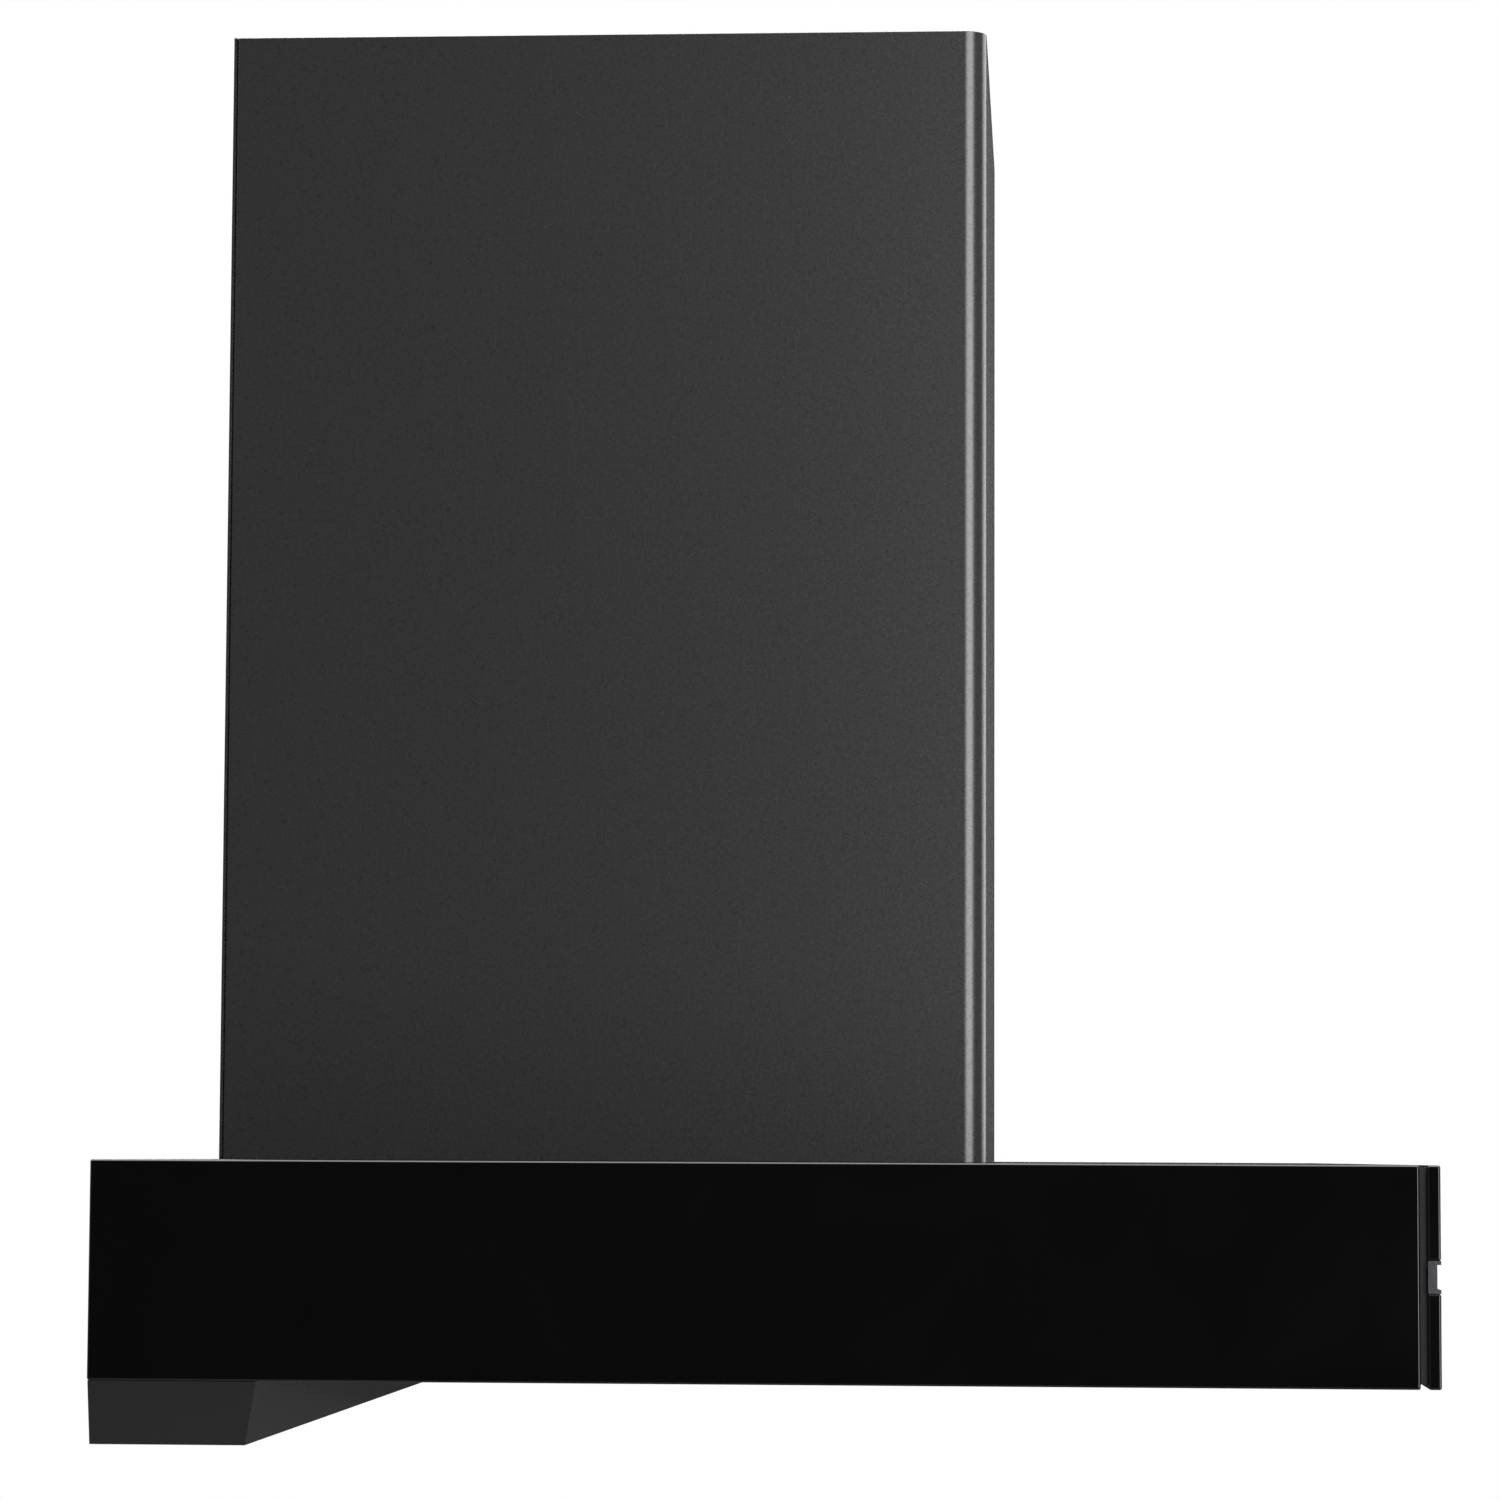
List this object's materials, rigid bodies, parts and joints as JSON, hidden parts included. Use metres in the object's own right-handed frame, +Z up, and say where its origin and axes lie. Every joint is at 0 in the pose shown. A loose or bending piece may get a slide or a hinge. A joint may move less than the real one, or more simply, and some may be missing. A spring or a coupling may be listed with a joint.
{
  "type": "island range hood",
  "caption": "Ceiling-hung range hood: square chimney over a flat glass-fronted canopy with push buttons, drop-down baffle filters, a rear grease tray, a centrifugal blower and a duct collar.",
  "frame": {"origin": "centre of the ceiling plate's four bolt holes, on the plate's top face, where it meets the ceiling", "axes": "+X across the hood's width, -Y out of the front with the push buttons, +Z up into the ceiling"},
  "size_m": [0.9, 0.52, 0.62],
  "materials": {
    "graphite_paint": "satin powder coat with a fine metallic fleck",
    "black_enamel": "smooth satin black enamel",
    "black_glass": "polished, back-painted black",
    "black_foam": "closed-cell foam",
    "anodised_aluminium": "satin anodised",
    "button_steel": "spun",
    "galvanised_steel": "zinc coated, dull",
    "zinc_fasteners": "zinc plated",
    "stainless_filter": "brushed",
    "latch_black": "moulded, fine texture",
    "spring_steel": "drawn wire",
    "frosted_lens": "frosted diffuser",
    "led_heat_sink": "die cast",
    "blower_plastic": "moulded, matte",
    "flap_plastic": "moulded",
    "impeller_zinc": "pressed sheet",
    "motor_steel": "bare steel",
    "motor_core": "stacked laminations",
    "circuit_board": "solder resist",
    "ivory_plastic": "moulded"
  },
  "bodies": {
    "hood": {"ceiling_plate": "galvanised_steel", "support_plate": "galvanised_steel", "frame_posts": "galvanised_steel", "frame_bolts": "zinc_fasteners", "canopy_shell": "black_enamel", "chimney_cover": "graphite_paint", "chimney_back_panel": "graphite_paint", "underside_panel": "black_enamel", "flush_screws": "zinc_fasteners", "side_glass_left": "black_glass", "side_glass_right": "black_glass", "front_glass_upper": "black_glass", "front_glass_lower": "black_glass", "front_spacer": "black_foam", "control_channel": "anodised_aluminium", "button_board": "circuit_board", "board_bracket": "latch_black", "light_bezels": "anodised_aluminium", "light_lenses": "frosted_lens", "light_modules": "led_heat_sink", "pivot_pins": "zinc_fasteners", "tray_studs": "zinc_fasteners", "blower_box": "galvanised_steel", "scroll_half_left": "blower_plastic", "scroll_half_right": "blower_plastic", "inlet_rings": "blower_plastic", "motor_housing": "motor_steel", "motor_stator": "motor_core", "motor_bearings": "motor_steel", "motor_bracket": "galvanised_steel", "duct_collar": "blower_plastic", "pan_screws": "zinc_fasteners", "terminal_box": "galvanised_steel", "terminal_cover": "galvanised_steel", "terminal_block": "ivory_plastic", "cable_gland": "latch_black", "run_capacitor": "ivory_plastic", "capacitor_clip": "galvanised_steel", "control_box": "latch_black", "power_board": "circuit_board"},
    "fan": {"impeller": "impeller_zinc", "motor_rotor": "motor_core", "motor_shaft": "motor_steel"},
    "flap_front": {"damper_flap_front": "flap_plastic"},
    "flap_back": {"damper_flap_back": "flap_plastic"},
    "filter_left": {"filter_frame_left": "stainless_filter", "filter_baffles_left": "stainless_filter", "latch_spring_left": "spring_steel"},
    "filter_right": {"filter_frame_right": "stainless_filter", "filter_baffles_right": "stainless_filter", "latch_spring_right": "spring_steel"},
    "latch_left": {"filter_latch_left": "latch_black"},
    "latch_right": {"filter_latch_right": "latch_black"},
    "tray": {"grease_tray": "black_enamel", "tray_sockets": "latch_black"},
    "power_button": {"button_power": "button_steel"},
    "speed_low_button": {"button_speed_low": "button_steel"},
    "speed_medium_button": {"button_speed_medium": "button_steel"},
    "speed_high_button": {"button_speed_high": "button_steel"},
    "light_button": {"button_light": "button_steel"}
  },
  "joints": [
    {"name": "fan_spin", "type": "hinge", "parent": "hood", "child": "fan", "pos_m": [0, 0.0545, -0.4], "axis": [1, 0, 0], "continuous": true},
    {"name": "front_flap_open", "type": "hinge", "parent": "hood", "child": "flap_front", "pos_m": [0, -0.004, -0.28], "axis": [-1, 0, 0], "range_deg": [0, 80]},
    {"name": "back_flap_open", "type": "hinge", "parent": "hood", "child": "flap_back", "pos_m": [0, 0.004, -0.28], "axis": [1, 0, 0], "range_deg": [0, 80]},
    {"name": "filter_left_drop", "type": "hinge", "parent": "hood", "child": "filter_left", "pos_m": [-0.2085, 0.1, -0.5895], "axis": [1, 0, 0], "range_deg": [0, 80]},
    {"name": "latch_left_slide", "type": "slide", "parent": "filter_left", "child": "latch_left", "axis": [0, 0.9984, -0.0558], "range_m": [0, 0.006], "stiffness_N_per_m": 300, "springref_m": -0.004, "deforming": ["latch_spring_left"]},
    {"name": "filter_right_drop", "type": "hinge", "parent": "hood", "child": "filter_right", "pos_m": [0.2085, 0.1, -0.5895], "axis": [1, 0, 0], "range_deg": [0, 80]},
    {"name": "latch_right_slide", "type": "slide", "parent": "filter_right", "child": "latch_right", "axis": [0, 0.9984, -0.0558], "range_m": [0, 0.006], "stiffness_N_per_m": 300, "springref_m": -0.004, "deforming": ["latch_spring_right"]},
    {"name": "tray_pull_down", "type": "slide", "parent": "hood", "child": "tray", "axis": [0, 0, -1], "range_m": [0, 0.06]},
    {"name": "power_press", "type": "slide", "parent": "hood", "child": "power_button", "axis": [0, 1, 0], "range_m": [0, 0.0012], "stiffness_N_per_m": 500, "springref_m": -0.002},
    {"name": "speed_low_press", "type": "slide", "parent": "hood", "child": "speed_low_button", "axis": [0, 1, 0], "range_m": [0, 0.0012], "stiffness_N_per_m": 500, "springref_m": -0.002},
    {"name": "speed_medium_press", "type": "slide", "parent": "hood", "child": "speed_medium_button", "axis": [0, 1, 0], "range_m": [0, 0.0012], "stiffness_N_per_m": 500, "springref_m": -0.002},
    {"name": "speed_high_press", "type": "slide", "parent": "hood", "child": "speed_high_button", "axis": [0, 1, 0], "range_m": [0, 0.0012], "stiffness_N_per_m": 500, "springref_m": -0.002},
    {"name": "light_press", "type": "slide", "parent": "hood", "child": "light_button", "axis": [0, 1, 0], "range_m": [0, 0.0012], "stiffness_N_per_m": 500, "springref_m": -0.002}
  ]
}
